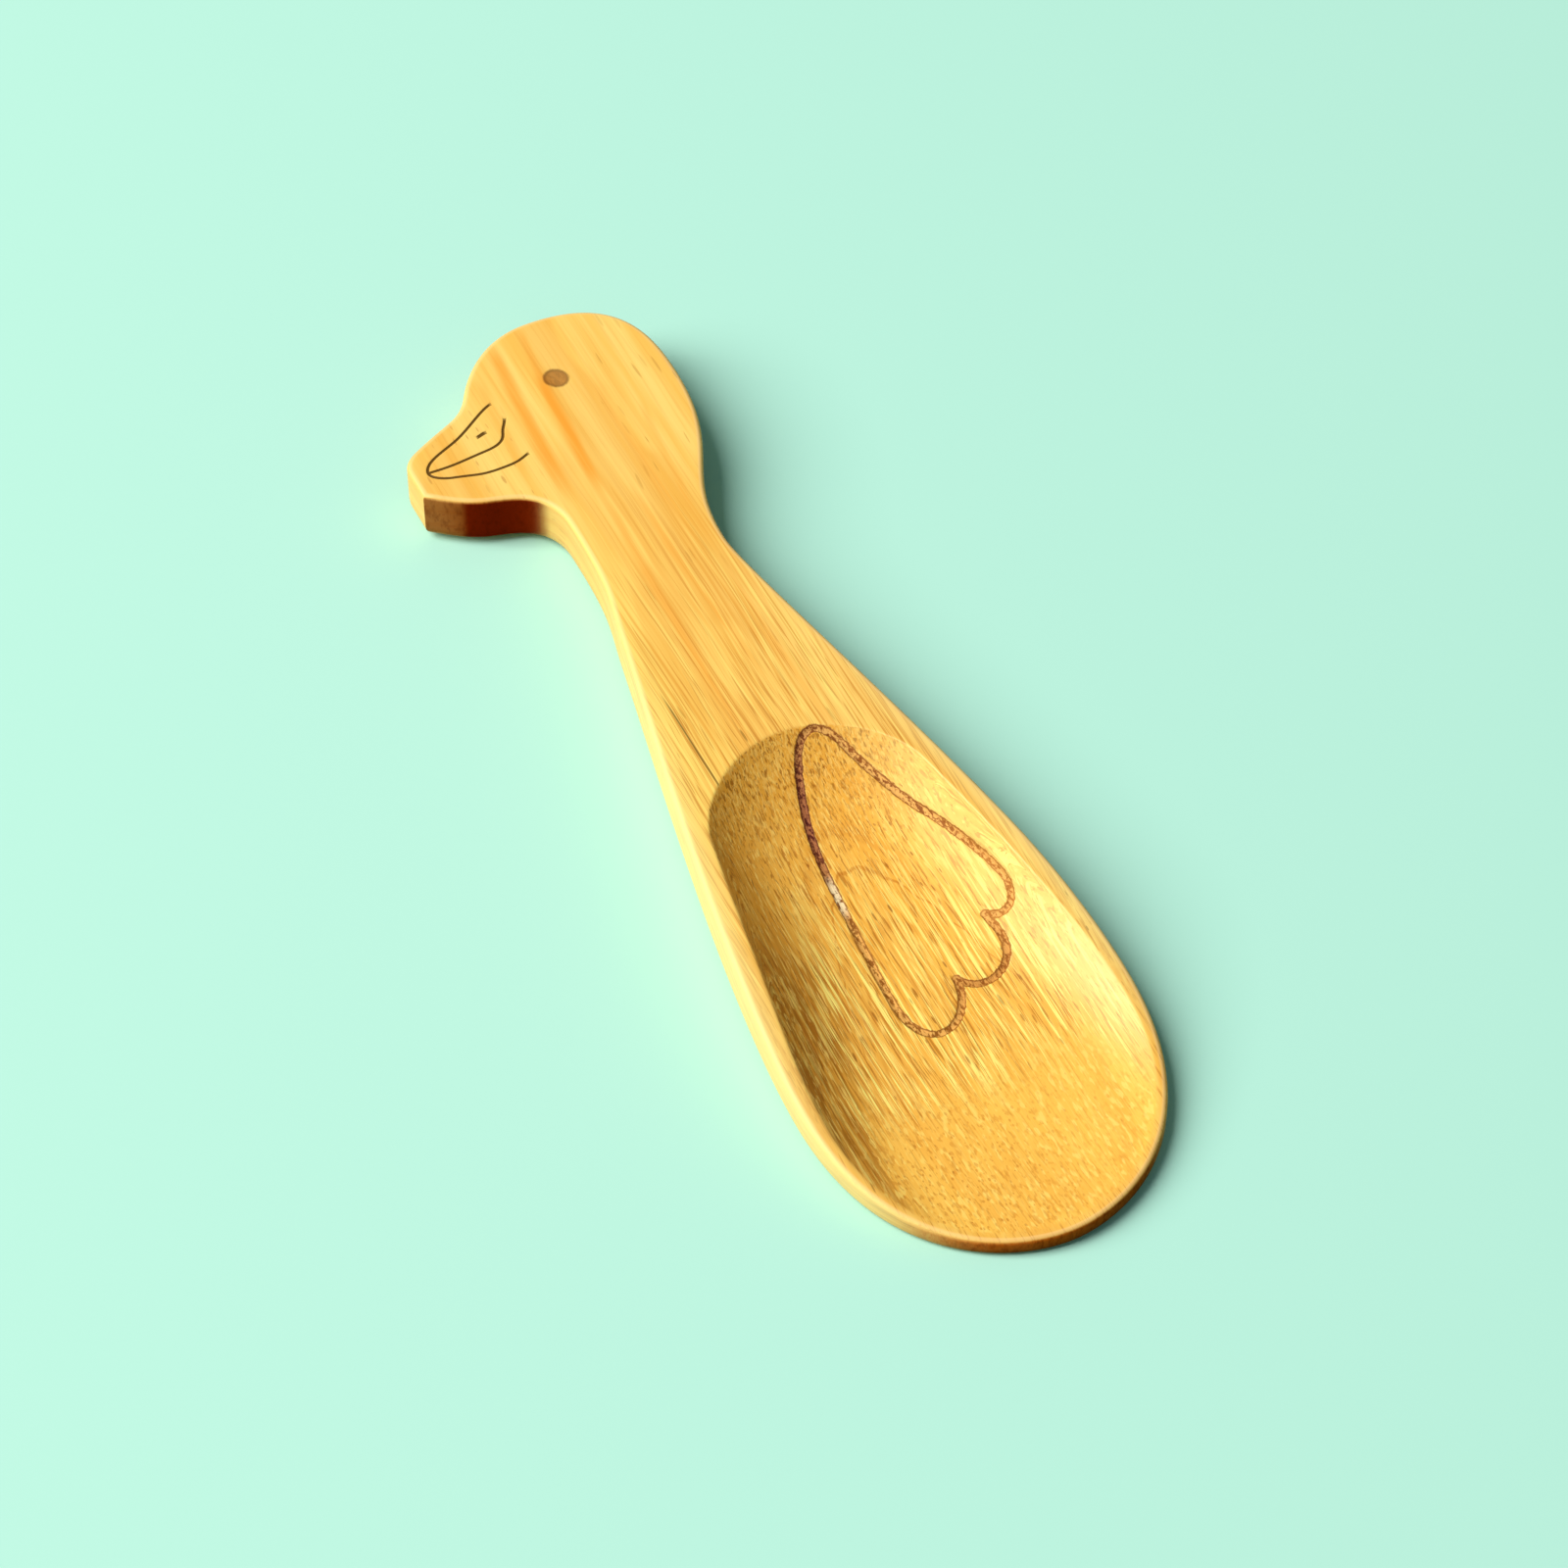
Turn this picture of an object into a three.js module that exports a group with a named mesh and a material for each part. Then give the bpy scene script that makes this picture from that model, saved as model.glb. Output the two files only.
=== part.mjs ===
// A child's spoon cut from one plank of solid wood in the outline of a duck.
// The head and the bill are the end of the grip, the neck is the grip, and the body holds the bowl.
// Millimetres. +X runs along the spoon from the crown of the head to the tip, and +Z is up.
// The origin is on the flat underside, on the bowl's centre line, midway along the length.

import * as THREE from 'three';

// Whole blank
const length = 138.4;
const plankThickness = 7.5;

// Body, widest a little before the tip
const bodyWidth = 40;
const widestFromTip = 24.9;
const tipFullness = 19;
const tipBluntness = 7.3;
const flankReach = 22.1;

// Neck, the narrowest part of the grip
const neckWidth = 15.9;
const neckFromCrown = 40.5;
const neckReach = 6.4;
const napeReach = 11.6;

// Head, which swells to its back on the +Y side
const headBack = 14.4;
const headBackFromCrown = 13.9;
const headBackReach = 14.4;
const crownShoulder = 6.2;
const crownOffset = 1.4;
const crownReach = 11.9;
const browReach = 7.2;

// Bill, which points to the -Y side
const billRootFromCrown = 7.5;
const billRootDepth = 9.8;
const billRootHeading = -34;
const billRootReach = 3.5;
const billRootLead = 0.4;
const billNoseFromCrown = 12.6;
const billNoseHeading = -63;
const billNoseReach = 6.2;
const billNoseRise = 1.9;
const billNoseSpan = 2.8;
const billNoseTurn = 1.3;
const billReach = 20.3;
const billEndWidth = 6.7;
const billHeelHeading = 53;
const billHeelReach = 1;
const billUndersideRise = 5.6;
const billUndersideSetback = 3.8;
const billUndersideHeading = 68;
const billUndersideReach = 2.8;

// Throat, the inside curve between the bill and the neck
const throatFromCrown = 30.8;
const throatDepth = 7.1;
const throatRound = 6.4;
const throatReach = 11;
const throatBlend = 18;
const throatBlendReach = 7;

// Falling rim: from here to the tip the top of the plank sinks
const tipThickness = 2.5;
const fallLength = 47.7;

// Rounded edges, finer where the rim is thin
const topRound = 0.6;
const tipTopRound = 0.6;
const undersideRound = 2.2;
const tipUndersideRound = 0.9;

// Bowl, a dish sunk from the top
const rimWidth = 2.5;
const tipRimWidth = 0.8;
const bowlFromTip = 69.8;
const bowlEndRound = 10.4;
const floorThickness = 1.4;
const deepestFromTip = 33;
const dishSteepness = 4;

// Fineness of the surface
const longestStep = 2.8;
const sharpestTurn = 10;
const roundSteps = 4;
const bowlEndSteps = 7;
const bowlRings = 11;

const crownX = -length / 2;
const tipX = length / 2;
const widestX = tipX - widestFromTip;
const bodyHalf = bodyWidth / 2;

// A station is a place that the outline passes, with its heading in degrees.
// Its reaches say how far the outline holds that heading before and after the station.
function station(x, y, heading, reachBefore, reachAfter) {
  const angle = THREE.MathUtils.degToRad(heading);
  const ahead = new THREE.Vector2(Math.cos(angle), Math.sin(angle));
  return { place: new THREE.Vector2(x, y), ahead, reachBefore, reachAfter };
}

function curveBetween(from, to) {
  const leaving = from.place.clone().addScaledVector(from.ahead, from.reachAfter);
  const arriving = to.place.clone().addScaledVector(to.ahead, -to.reachBefore);
  return new THREE.CubicBezierCurve(from.place, leaving, arriving, to.place);
}

// Points along a curve, closer together where it turns, and without its last point.
function trace(curve) {
  const start = curve.getTangent(0);
  const turn = THREE.MathUtils.radToDeg(start.angleTo(curve.getTangent(1)));
  const steps = Math.ceil(Math.max(curve.getLength() / longestStep, turn / sharpestTurn));
  return curve.getPoints(steps).slice(0, -1);
}

function mirrored(points) {
  return points.map((point) => new THREE.Vector2(point.x, -point.y)).reverse();
}

const tip = station(tipX, 0, 90, 0, tipBluntness);
const widest = station(widestX, bodyHalf, 180, tipFullness, flankReach);
const neck = station(crownX + neckFromCrown, neckWidth / 2, 180, neckReach, napeReach);
const tipCurve = curveBetween(tip, widest);
const flankCurve = curveBetween(widest, neck);

// How far along the flank curve it passes a given x.
function flankShare(x) {
  let nearer = 0;
  let further = 1;
  for (let halving = 0; halving < 40; halving += 1) {
    const middle = (nearer + further) / 2;
    if (flankCurve.getPoint(middle).x > x) nearer = middle;
    else further = middle;
  }
  return nearer;
}

function flankHalfWidth(x) {
  return flankCurve.getPoint(flankShare(x)).y;
}

// The bill's nose, where the line from its root turns into its blunt end
function billNose() {
  const x = crownX + billNoseFromCrown;
  const y = billNoseRise - billReach;
  return station(x, y, billNoseHeading, billNoseReach, billNoseTurn);
}

// The back of the neck and head, the crown and the brow, as far as the bill's nose
function headCurves() {
  const back = station(crownX + headBackFromCrown, headBack, 180, headBackReach, crownShoulder);
  const crown = station(crownX, crownOffset, -90, crownReach, browReach);
  const rootX = crownX + billRootFromCrown;
  const root = station(rootX, -billRootDepth, billRootHeading, billRootLead, billRootReach);
  const stations = [neck, back, crown, root, billNose()];
  return stations.slice(1).map((next, index) => curveBetween(stations[index], next));
}

// The rounded nose of the bill, its blunt end and the sharp heel at its lower corner
function billEndCurves() {
  const nose = billNose();
  const end = station(nose.place.x + billNoseSpan, -billReach, 0, billNoseTurn, 0);
  const heel = new THREE.Vector2(nose.place.x + billEndWidth, -billReach);
  return [curveBetween(nose, end), new THREE.LineCurve(end.place, heel)];
}

// The underside of the bill, the throat, and the blend into the flank
function throatCurves() {
  const heelX = crownX + billNoseFromCrown + billEndWidth;
  const heel = station(heelX, -billReach, billHeelHeading, 0, billHeelReach);
  const underX = heelX + billUndersideSetback;
  const underY = billUndersideRise - billReach;
  const under = station(underX, underY, billUndersideHeading, billUndersideReach, billUndersideReach);
  const throatX = crownX + throatFromCrown;
  const throat = station(throatX, -throatDepth, 0, throatRound, throatReach);
  const share = flankShare(throatX + throatBlend);
  const meeting = flankCurve.getPoint(share);
  const slope = flankCurve.getTangent(share);
  const heading = -THREE.MathUtils.radToDeg(Math.atan2(slope.y, slope.x)) + 180;
  const blend = station(meeting.x, -meeting.y, heading, throatBlendReach, 0);
  return [curveBetween(heel, under), curveBetween(under, throat), curveBetween(throat, blend)];
}

// The -Y flank mirrors the +Y one, from where the throat has blended into it.
function mirroredFlank() {
  const share = flankShare(crownX + throatFromCrown + throatBlend);
  const steps = Math.ceil((flankCurve.getLength() * share) / longestStep);
  const points = [];
  for (let step = 1; step <= steps; step += 1) {
    points.push(flankCurve.getPoint((share * step) / steps));
  }
  return mirrored(points);
}

function mirroredTip() {
  const withoutTip = trace(tipCurve).slice(1);
  return [new THREE.Vector2(widestX, -bodyHalf), ...mirrored(withoutTip)];
}

// The whole outline runs anticlockwise, seen from above, and starts at the tip.
function outlinePoints() {
  const curves = [tipCurve, flankCurve, ...headCurves(), ...billEndCurves(), ...throatCurves()];
  return [...curves.flatMap(trace), ...mirroredFlank(), ...mirroredTip()];
}

// Height of the top of the wood, which falls in a gentle S from the plank's face to the tip.
function topHeight(x) {
  const fallen = THREE.MathUtils.smoothstep(x, tipX - fallLength, tipX);
  return THREE.MathUtils.lerp(plankThickness, tipThickness, fallen);
}

// A round or a rim that goes with the wood's height: full on the plank and fine at the tip.
function sizeAt(x, full, fine) {
  const share = (topHeight(x) - tipThickness) / (plankThickness - tipThickness);
  return THREE.MathUtils.lerp(fine, full, share);
}

// Direction into the wood at each outline point, long enough at a corner to keep both sides inset.
function inwardDirections(points) {
  return points.map((point, index) => {
    const previous = points[(index + points.length - 1) % points.length];
    const next = points[(index + 1) % points.length];
    const before = point.clone().sub(previous).normalize();
    const after = next.clone().sub(point).normalize();
    const sideBefore = new THREE.Vector2(-before.y, before.x);
    const sideAfter = new THREE.Vector2(-after.y, after.x);
    const both = sideBefore.clone().add(sideAfter);
    return both.divideScalar(1 + sideBefore.dot(sideAfter));
  });
}

// Half of the mouth's width: the flank less the rim, closed by a round end towards the neck.
function mouthHalfWidth(x) {
  const roundFrom = tipX - bowlFromTip + bowlEndRound;
  const beyond = Math.max(0, (roundFrom - x) / bowlEndRound);
  const closing = Math.sqrt(Math.max(0, 1 - beyond * beyond));
  return (flankHalfWidth(x) - sizeAt(x, rimWidth, tipRimWidth)) * closing;
}

// The mouth of the bowl, anticlockwise from its end at the tip, where it is the outline less the rim.
function mouthPoints(outline, inward) {
  const half = trace(tipCurve).map((point, index) => {
    const rim = sizeAt(point.x, rimWidth, tipRimWidth);
    return outline[index].clone().addScaledVector(inward[index], rim);
  });
  const roundFrom = tipX - bowlFromTip + bowlEndRound;
  const straightSteps = Math.ceil((widestX - roundFrom) / longestStep);
  for (let step = 0; step < straightSteps; step += 1) {
    const x = THREE.MathUtils.lerp(widestX, roundFrom, step / straightSteps);
    half.push(new THREE.Vector2(x, mouthHalfWidth(x)));
  }
  for (let step = 0; step < bowlEndSteps; step += 1) {
    const angle = (step / bowlEndSteps) * (Math.PI / 2);
    const x = roundFrom - bowlEndRound * Math.sin(angle);
    half.push(new THREE.Vector2(x, mouthHalfWidth(x)));
  }
  const neckEnd = new THREE.Vector2(tipX - bowlFromTip, 0);
  return [...half, neckEnd, ...mirrored(half.slice(1))];
}

// The spoon's skin is a stack of closed rings, bridged from one to the next.
function carvedSpoonGeometry() {
  const vertices = [];
  const triangles = [];
  const outline = outlinePoints();
  const inward = inwardDirections(outline);

  function addRing(points, heights) {
    const first = vertices.length / 3;
    points.forEach((point, index) => vertices.push(point.x, point.y, heights[index]));
    return first;
  }

  function bridge(lower, upper, count) {
    for (let index = 0; index < count; index += 1) {
      const next = (index + 1) % count;
      triangles.push(lower + index, lower + next, upper + next);
      triangles.push(lower + index, upper + next, upper + index);
    }
  }

  function insetOutline(inset) {
    return outline.map((point, index) => point.clone().addScaledVector(inward[index], inset[index]));
  }

  // One ring of a rounded edge: the angle runs from 0 at the flat face to 90 degrees at the wall.
  function undersideRing(angle) {
    const rounds = outline.map((point) => sizeAt(point.x, undersideRound, tipUndersideRound));
    const points = insetOutline(rounds.map((round) => round * (1 - Math.sin(angle))));
    return addRing(points, rounds.map((round) => round * (1 - Math.cos(angle))));
  }

  function topRing(angle) {
    const rounds = outline.map((point) => sizeAt(point.x, topRound, tipTopRound));
    const points = insetOutline(rounds.map((round) => round * (1 - Math.sin(angle))));
    const sinks = rounds.map((round) => round * (1 - Math.cos(angle)));
    const heights = points.map((point, index) => topHeight(point.x) - sinks[index]);
    return { first: addRing(points, heights), points };
  }

  // Edges and side wall, from the underside up
  const underside = undersideRing(0);
  let last = underside;
  for (let step = 1; step <= roundSteps; step += 1) {
    const ring = undersideRing((step / roundSteps) * (Math.PI / 2));
    bridge(last, ring, outline.length);
    last = ring;
  }
  let top = null;
  for (let step = roundSteps; step >= 0; step -= 1) {
    top = topRing((step / roundSteps) * (Math.PI / 2));
    bridge(last, top.first, outline.length);
    last = top.first;
  }

  // Flat underside
  const undersideInset = outline.map((point) => sizeAt(point.x, undersideRound, tipUndersideRound));
  const undersideFaces = THREE.ShapeUtils.triangulateShape(insetOutline(undersideInset), []);
  undersideFaces.forEach(([a, b, c]) => triangles.push(underside + a, underside + c, underside + b));

  // Top face and rim, around the mouth
  const mouth = mouthPoints(outline, inward);
  const mouthHeights = mouth.map((point) => topHeight(point.x));
  const mouthRing = addRing(mouth, mouthHeights);
  const hole = mouth.slice().reverse();
  const count = outline.length;
  const onTop = (index) => {
    return index < count ? top.first + index : mouthRing + mouth.length - 1 - (index - count);
  };
  const topFaces = THREE.ShapeUtils.triangulateShape(top.points, [hole]);
  topFaces.forEach((face) => triangles.push(...face.map(onTop)));

  // Dish: rings shrink towards the deepest point and sink along a power curve.
  const deepest = new THREE.Vector2(tipX - deepestFromTip, 0);
  let outer = mouthRing;
  for (let ring = 1; ring < bowlRings; ring += 1) {
    const share = 1 - ring / bowlRings;
    const points = mouth.map((point) => deepest.clone().lerp(point, share));
    const rise = share ** dishSteepness;
    const heights = mouthHeights.map((rim) => floorThickness + (rim - floorThickness) * rise);
    const inner = addRing(points, heights);
    bridge(outer, inner, mouth.length);
    outer = inner;
  }
  const centre = addRing([deepest], [floorThickness]);
  for (let index = 0; index < mouth.length; index += 1) {
    triangles.push(outer + index, outer + ((index + 1) % mouth.length), centre);
  }

  const geometry = new THREE.BufferGeometry();
  geometry.setAttribute('position', new THREE.Float32BufferAttribute(vertices, 3));
  geometry.setIndex(triangles);
  geometry.computeVertexNormals();
  return geometry;
}

const paleWood = new THREE.MeshStandardMaterial({ color: 0xf3c268, roughness: 0.5, metalness: 0 });

const carvedSpoon = new THREE.Mesh(carvedSpoonGeometry(), paleWood);
carvedSpoon.name = 'carved_spoon';

const spoon = new THREE.Group();
spoon.add(carvedSpoon);

export default spoon;
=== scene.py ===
"""The looks of a child's wooden spoon in the outline of a duck.

One piece of wood: head and bill at the grip's end, a neck to hold, and a body with the bowl.
An eye, the lines of the bill and a wing are burnt into it as shallow brown lines.
Lengths are in millimetres until a mesh is made. +X runs from the crown to the tip, +Z is up.
"""

import math
from collections import namedtuple

import bpy
import numpy as np
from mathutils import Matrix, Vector, kdtree
from mathutils.geometry import delaunay_2d_cdt


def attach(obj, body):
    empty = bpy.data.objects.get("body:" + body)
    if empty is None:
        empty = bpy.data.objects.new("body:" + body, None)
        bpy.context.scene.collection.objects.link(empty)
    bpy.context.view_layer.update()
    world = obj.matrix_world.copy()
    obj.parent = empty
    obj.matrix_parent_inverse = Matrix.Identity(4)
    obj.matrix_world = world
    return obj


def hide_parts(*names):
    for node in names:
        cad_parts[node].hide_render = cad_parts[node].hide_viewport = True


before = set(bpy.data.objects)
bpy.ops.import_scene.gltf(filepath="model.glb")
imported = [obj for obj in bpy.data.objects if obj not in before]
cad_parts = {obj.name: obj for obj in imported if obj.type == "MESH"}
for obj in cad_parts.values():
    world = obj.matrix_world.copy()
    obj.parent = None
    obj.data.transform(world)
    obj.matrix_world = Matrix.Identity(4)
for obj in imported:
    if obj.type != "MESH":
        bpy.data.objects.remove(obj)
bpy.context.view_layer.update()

MM = 0.001

# Whole blank
LENGTH = 138.4
PLANK_THICKNESS = 7.5

# Body
BODY_WIDTH = 40.0
WIDEST_FROM_TIP = 24.9
TIP_FULLNESS = 19.0
TIP_BLUNTNESS = 7.3
FLANK_REACH = 22.1

# Neck
NECK_WIDTH = 15.9
NECK_FROM_CROWN = 40.5

# Head and bill
HEAD_BACK = 14.4
HEAD_BACK_FROM_CROWN = 13.9
BILL_ROOT_FROM_CROWN = 7.5
BILL_ROOT_DEPTH = 9.8
BILL_NOSE_FROM_CROWN = 12.6
BILL_NOSE_RISE = 1.9
BILL_NOSE_SPAN = 2.8
BILL_NOSE_TURN = 1.3
BILL_REACH = 20.3
BILL_END_WIDTH = 6.7
BILL_UNDERSIDE_RISE = 5.6
BILL_UNDERSIDE_SETBACK = 3.8

# Throat
THROAT_FROM_CROWN = 30.8
THROAT_DEPTH = 7.1
THROAT_BLEND = 18.0

# Falling rim and rounded edges
TIP_THICKNESS = 2.5
FALL_LENGTH = 47.7
TOP_ROUND = 0.6
TIP_TOP_ROUND = 0.6
UNDERSIDE_ROUND = 2.2
TIP_UNDERSIDE_ROUND = 0.9

# Bowl
RIM_WIDTH = 2.5
TIP_RIM_WIDTH = 0.8
BOWL_FROM_TIP = 69.8
BOWL_END_ROUND = 10.4
FLOOR_THICKNESS = 1.4
DEEPEST_FROM_TIP = 33.0
DISH_STEEPNESS = 4
MOUTH_EDGE_ROUND = 0.16

# Burnt marks: half of a line's width, and how deep it sinks
WING_HALF_WIDTH = 0.46
WING_DEPTH = 0.16
BILL_LINE_HALF_WIDTH = 0.17
BILL_LINE_DEPTH = 0.1
NOSTRIL_HALF_WIDTH = 0.23
EYE_HALF_WIDTH = 1.3
EYE_DEPTH = 0.1

# Fineness of the surface
OUTLINE_STEP = 0.6
FLANK_STEP = FLANK_REACH / 600
FACE_SPACING = 0.85
UNDERSIDE_SPACING = 3.0
MARK_GAP = 0.045
EDGE_GAP = 0.13
UNDERSIDE_GAP = 0.9
ROUND_STEPS = 6
SHARP_DEGREES = 38

# Points of the outline go where an inset would shrink a step below this share
LEAST_STEP_KEPT = 0.12

# Rows of points beside a burnt line in half widths, beside the mouth's edge and inside the outline
MARK_ROWS = (0, 0.35, 0.7, 1.0, 1.35, 2.1)
MOUTH_ROWS = (0, -0.16, 0.16, -0.36, 0.36, -0.75, 0.75)
OUTLINE_ROWS = (0.4, 0.9)

# Camera places in millimetres. Sizes and distances of the lamp and the floor in metres
CAMERA_LENS = 123.4
CAMERA_PLACE = (330.64, -167.69, 473.5)
CAMERA_TARGET = (1.01, 0.26, 0.0)
LAMP_SIZE = (1.2, 2.6)
LAMP_WATTS = 106
LAMP_COLOUR = (1.0, 0.91, 0.85)
LAMP_TOWARDS = (-0.23, -0.66, 0.72)
LAMP_DISTANCE = 2.5
SURROUND_COLOUR = (0.7, 1.0, 1.03, 1.0)
SURROUND_STRENGTH = 0.16
FLOOR_HALF = 1.5
FLOOR_GAP = 0.00003

# Height of the relief that the finish gives, in millimetres
RELIEF_HEIGHT = 0.08

CROWN_X = -LENGTH / 2
TIP_X = LENGTH / 2
WIDEST_X = TIP_X - WIDEST_FROM_TIP
BODY_HALF = BODY_WIDTH / 2


# Curves through stations

Station = namedtuple("Station", "place ahead before after")


def station(x, y, heading, before, after):
    """A place on a curve, its heading in degrees and how far the curve holds it either way."""
    angle = math.radians(heading)
    ahead = np.array([math.cos(angle), math.sin(angle)])
    return Station(np.array([x, y], float), ahead, before, after)


def curve_points(start, end, step):
    """Points along one curve, its last point left out."""
    leaving = start.place + start.ahead * start.after
    arriving = end.place - end.ahead * end.before
    corners = [start.place, leaving, arriving, end.place]
    reach = sum(np.linalg.norm(b - a) for a, b in zip(corners, corners[1:]))
    count = max(4, math.ceil(reach / step))
    t = np.linspace(0, 1, count + 1)[:-1, None]
    near = (1 - t) ** 3 * start.place + 3 * (1 - t) ** 2 * t * leaving
    return near + 3 * (1 - t) * t * t * arriving + t ** 3 * end.place


def chain(stations, step):
    """Points through all the stations, the last one too."""
    parts = [curve_points(a, b, step) for a, b in zip(stations, stations[1:])]
    return np.vstack(parts + [stations[-1].place[None, :]])


WIDEST = station(WIDEST_X, BODY_HALF, 180, TIP_FULLNESS, FLANK_REACH)
NECK = station(CROWN_X + NECK_FROM_CROWN, NECK_WIDTH / 2, 180, 6.4, 11.6)
FLANK = curve_points(WIDEST, NECK, FLANK_STEP)


def flank_half_width(x):
    return np.interp(x, FLANK[::-1, 0], FLANK[::-1, 1])


def inward_directions(points):
    """At each point of a loop the way inward, long enough to keep the inset even at corners."""
    before = points - np.roll(points, 1, axis=0)
    after = np.roll(points, -1, axis=0) - points
    before /= np.linalg.norm(before, axis=1)[:, None]
    after /= np.linalg.norm(after, axis=1)[:, None]
    side_before = np.column_stack([-before[:, 1], before[:, 0]])
    side_after = np.column_stack([-after[:, 1], after[:, 0]])
    meeting = 1 + np.sum(side_before * side_after, axis=1)
    return (side_before + side_after) / meeting[:, None]


def mirrored(points):
    return (points * np.array([1.0, -1.0]))[::-1]


def outline_points():
    """The outline, anticlockwise from the tip."""
    tip = station(TIP_X, 0, 90, 0, TIP_BLUNTNESS)
    back = station(CROWN_X + HEAD_BACK_FROM_CROWN, HEAD_BACK, 180, 14.4, 6.2)
    crown = station(CROWN_X, 1.4, -90, 11.9, 7.2)
    root = station(CROWN_X + BILL_ROOT_FROM_CROWN, -BILL_ROOT_DEPTH, -34, 0.4, 3.5)
    nose_x = CROWN_X + BILL_NOSE_FROM_CROWN
    nose_y = BILL_NOSE_RISE - BILL_REACH
    nose = station(nose_x, nose_y, -63, 6.2, BILL_NOSE_TURN)
    end = station(nose_x + BILL_NOSE_SPAN, -BILL_REACH, 0, BILL_NOSE_TURN, 1)
    heel_x = nose_x + BILL_END_WIDTH
    heel = station(heel_x, -BILL_REACH, 0, 1, 1)
    heel_turned = station(heel_x, -BILL_REACH, 53, 0, 1)
    under_y = BILL_UNDERSIDE_RISE - BILL_REACH
    under = station(heel_x + BILL_UNDERSIDE_SETBACK, under_y, 68, 2.8, 2.8)
    throat = station(CROWN_X + THROAT_FROM_CROWN, -THROAT_DEPTH, 0, 6.4, 11.0)

    meeting_x = CROWN_X + THROAT_FROM_CROWN + THROAT_BLEND
    rise = flank_half_width(meeting_x + 0.1) - flank_half_width(meeting_x - 0.1)
    heading = math.degrees(math.atan2(-rise, 0.2))
    blend = station(meeting_x, -flank_half_width(meeting_x), heading, 7, 0)

    above = [tip, WIDEST, NECK, back, crown, root, nose, end, heel]
    below = [heel_turned, under, throat, blend]
    flank_xs = np.arange(meeting_x, WIDEST_X, OUTLINE_STEP)
    flank = np.column_stack([flank_xs, -flank_half_width(flank_xs)])
    tip_half = curve_points(tip, WIDEST, OUTLINE_STEP)[1:]
    widest_point = np.array([[WIDEST_X, -BODY_HALF]])
    halves = [chain(above, OUTLINE_STEP)[:-1], chain(below, OUTLINE_STEP)[:-1]]
    return np.vstack(halves + [flank, widest_point, mirrored(tip_half)])


# Heights of the top of the wood, and sizes that follow it

def top_height(x):
    """The plank's top, level along the grip and falling in an S to the tip."""
    t = np.clip((x - (TIP_X - FALL_LENGTH)) / FALL_LENGTH, 0, 1)
    return PLANK_THICKNESS + (TIP_THICKNESS - PLANK_THICKNESS) * t * t * (3 - 2 * t)


def round_at(x, full, fine):
    """A size that is full along the grip and fine at the tip, as the top falls."""
    share = (top_height(x) - TIP_THICKNESS) / (PLANK_THICKNESS - TIP_THICKNESS)
    return fine + (full - fine) * share


def mouth_points():
    """The edge of the bowl's mouth, anticlockwise from the tip: the outline less the rim."""
    outline = outline_points()
    rims = round_at(outline[:, 0], RIM_WIDTH, TIP_RIM_WIDTH)
    moved = outline + inward_directions(outline) * rims[:, None]
    tip_half = moved[:np.argmax(outline[:, 0] <= WIDEST_X)]
    round_from = TIP_X - BOWL_FROM_TIP + BOWL_END_ROUND
    straight = np.arange(WIDEST_X, round_from, -OUTLINE_STEP)
    angles = np.linspace(0, math.pi / 2, 28)[:-1]
    round_xs = round_from - BOWL_END_ROUND * np.sin(angles)
    xs = np.concatenate([straight, round_xs])
    beyond = np.maximum(0, (round_from - xs) / BOWL_END_ROUND)
    rims = round_at(xs, RIM_WIDTH, TIP_RIM_WIDTH)
    halves = (flank_half_width(xs) - rims) * np.sqrt(np.maximum(0, 1 - beyond ** 2))
    half = np.vstack([tip_half, np.column_stack([xs, halves])])
    neck_end = np.array([[TIP_X - BOWL_FROM_TIP, 0.0]])
    return np.vstack([half, neck_end, mirrored(half[1:])])


MOUTH = mouth_points()
DEEPEST = np.array([TIP_X - DEEPEST_FROM_TIP, 0.0])


def dish_height(points):
    """Height of the bowl's surface, carried on past its mouth."""
    arms, spokes = MOUTH - DEEPEST, points - DEEPEST
    around = np.arctan2(arms[:, 1], arms[:, 0])
    facing = np.arctan2(spokes[:, 1], spokes[:, 0])
    reach = np.interp(facing, around, np.linalg.norm(arms, axis=1), period=2 * math.pi)
    rim = np.interp(facing, around, top_height(MOUTH[:, 0]), period=2 * math.pi)
    share = np.linalg.norm(spokes, axis=1) / reach
    return FLOOR_THICKNESS + (rim - FLOOR_THICKNESS) * share ** DISH_STEEPNESS


def face_height(points):
    """The top of the wood, the lower of plank and dish, with the mouth's edge eased."""
    plank = top_height(points[:, 0])
    dish = dish_height(points)
    ease = np.maximum(0, MOUTH_EDGE_ROUND - np.abs(plank - dish)) / MOUTH_EDGE_ROUND
    return np.minimum(plank, dish) - ease ** 2 * MOUTH_EDGE_ROUND / 4


# Burnt marks, each a list of lines

WING_LINES = [
    [station(0.45, 3.7, -90, 0, 1.7), station(5.2, 0.15, -20, 2.9, 5),
     station(19.6, -2.35, -4, 6, 5), station(34.3, -3.4, -2, 4, 3.4),
     station(39.95, -0.4, 90, 1.8, 2.7), station(34.2, 4.2, 178, 2.6, 0)],
    [station(34.2, 4.2, 22, 0, 1.2), station(36.2, 7.3, 92, 1.6, 2.4),
     station(32.05, 11.05, 181, 2.0, 1.2), station(28.65, 10.6, 188, 1.0, 0)],
    [station(28.65, 10.6, 42, 0, 0.8), station(29.85, 12.65, 92, 1.0, 1.1),
     station(26.8, 14.1, 185, 1.5, 3), station(13.8, 10.65, 202, 4, 3.5),
     station(3.7, 6.6, 200, 2.6, 1.9), station(0.45, 3.7, 270, 1.2, 0)],
]
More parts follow.
